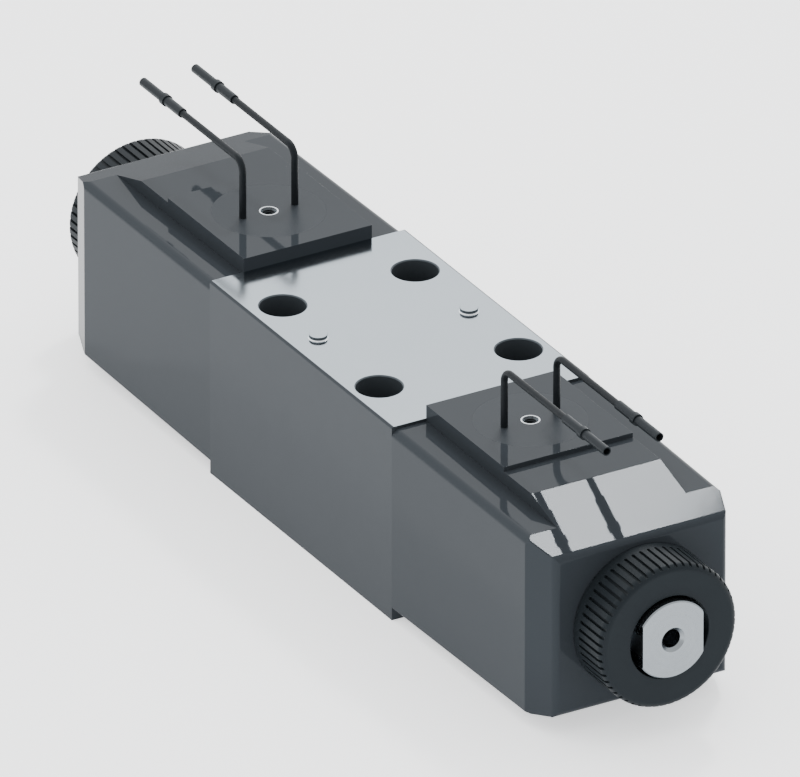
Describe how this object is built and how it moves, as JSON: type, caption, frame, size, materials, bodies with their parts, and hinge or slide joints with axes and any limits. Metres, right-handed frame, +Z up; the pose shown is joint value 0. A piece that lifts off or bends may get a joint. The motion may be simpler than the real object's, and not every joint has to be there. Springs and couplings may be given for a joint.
{
  "type": "proportional directional valve",
  "caption": "Solenoid operated proportional spool valve for a subplate, with a coil, a knurled nut and flying leads on each end.",
  "frame": {"origin": "middle of the mounting face of the valve body", "axes": "+X along the spool towards side b, +Y across towards port T, +Z up, away from the subplate"},
  "size_m": [0.22, 0.046, 0.0612],
  "materials": {
    "cast_body": "machined top, dark coated sides",
    "seal_rubber": "moulded",
    "hardened_steel": "ground",
    "spring_steel": "drawn wire",
    "turned_steel": "turned",
    "plated_steel": "zinc plated",
    "coil_plastic": "moulded, glossy",
    "bobbin_plastic": "moulded",
    "copper_wire": "enamelled",
    "potting_resin": "cast resin",
    "insert_brass": "turned",
    "nut_plastic": "moulded, satin",
    "lead_jacket": "extruded",
    "ferrule_metal": "crimped"
  },
  "bodies": {
    "housing": {"valve_body": "cast_body", "port_seals": "seal_rubber", "centering_spring_a": "spring_steel", "pole_piece_a": "turned_steel", "tube_seal_a": "seal_rubber", "pressure_tube_a": "turned_steel", "end_plug_a": "plated_steel", "override_seal_a": "seal_rubber", "coil_shell_a": "coil_plastic", "coil_seal_a": "seal_rubber", "yoke_a": "turned_steel", "yoke_washer_a": "turned_steel", "bobbin_a": "bobbin_plastic", "winding_a": "copper_wire", "potting_disc_a": "potting_resin", "pad_insert_a": "insert_brass", "lead_a1": "lead_jacket", "lead_a2": "lead_jacket", "ferrule_a1": "ferrule_metal", "ferrule_a2": "ferrule_metal", "centering_spring_b": "spring_steel", "pole_piece_b": "turned_steel", "tube_seal_b": "seal_rubber", "pressure_tube_b": "turned_steel", "end_plug_b": "plated_steel", "override_seal_b": "seal_rubber", "coil_shell_b": "coil_plastic", "coil_seal_b": "seal_rubber", "yoke_b": "turned_steel", "yoke_washer_b": "turned_steel", "bobbin_b": "bobbin_plastic", "winding_b": "copper_wire", "potting_disc_b": "potting_resin", "pad_insert_b": "insert_brass", "lead_b1": "lead_jacket", "lead_b2": "lead_jacket", "ferrule_b1": "ferrule_metal", "ferrule_b2": "ferrule_metal"},
    "spool_train": {"spool": "hardened_steel", "spring_seat_a": "turned_steel", "armature_a": "turned_steel", "push_pin_a": "hardened_steel", "spring_seat_b": "turned_steel", "armature_b": "turned_steel", "push_pin_b": "hardened_steel"},
    "override_a": {"override_pin_a": "hardened_steel"},
    "nut_slide_a": {"nut_seal_a": "seal_rubber"},
    "nut_a": {"knurled_nut_a": "nut_plastic"},
    "override_b": {"override_pin_b": "hardened_steel"},
    "nut_slide_b": {"nut_seal_b": "seal_rubber"},
    "nut_b": {"knurled_nut_b": "nut_plastic"}
  },
  "joints": [
    {"name": "spool_slide", "type": "slide", "parent": "housing", "child": "spool_train", "axis": [1, 0, 0], "range_m": [-0.0025, 0.0025], "stiffness_N_per_m": 4000, "deforming": ["centering_spring_a", "centering_spring_b"]},
    {"name": "override_a_press", "type": "slide", "parent": "housing", "child": "override_a", "axis": [1, 0, 0], "range_m": [0, 0.002], "stiffness_N_per_m": 500},
    {"name": "override_b_press", "type": "slide", "parent": "housing", "child": "override_b", "axis": [-1, 0, 0], "range_m": [0, 0.002], "stiffness_N_per_m": 500},
    {"name": "nut_a_travel", "type": "slide", "parent": "housing", "child": "nut_slide_a", "axis": [-1, 0, 0], "range_m": [0, 0.004]},
    {"name": "nut_a_turn", "type": "hinge", "parent": "nut_slide_a", "child": "nut_a", "pos_m": [-0.1, 0, 0.023], "axis": [1, 0, 0], "range_deg": [0, 1440]},
    {"name": "nut_b_travel", "type": "slide", "parent": "housing", "child": "nut_slide_b", "axis": [1, 0, 0], "range_m": [0, 0.004]},
    {"name": "nut_b_turn", "type": "hinge", "parent": "nut_slide_b", "child": "nut_b", "pos_m": [0.1, 0, 0.023], "axis": [-1, 0, 0], "range_deg": [0, 1440]}
  ],
  "couplings": [
    {"joint": "nut_a_travel", "follows": "nut_a_turn", "m_per_rad": 0.00015915},
    {"joint": "nut_b_travel", "follows": "nut_b_turn", "m_per_rad": 0.00015915}
  ]
}
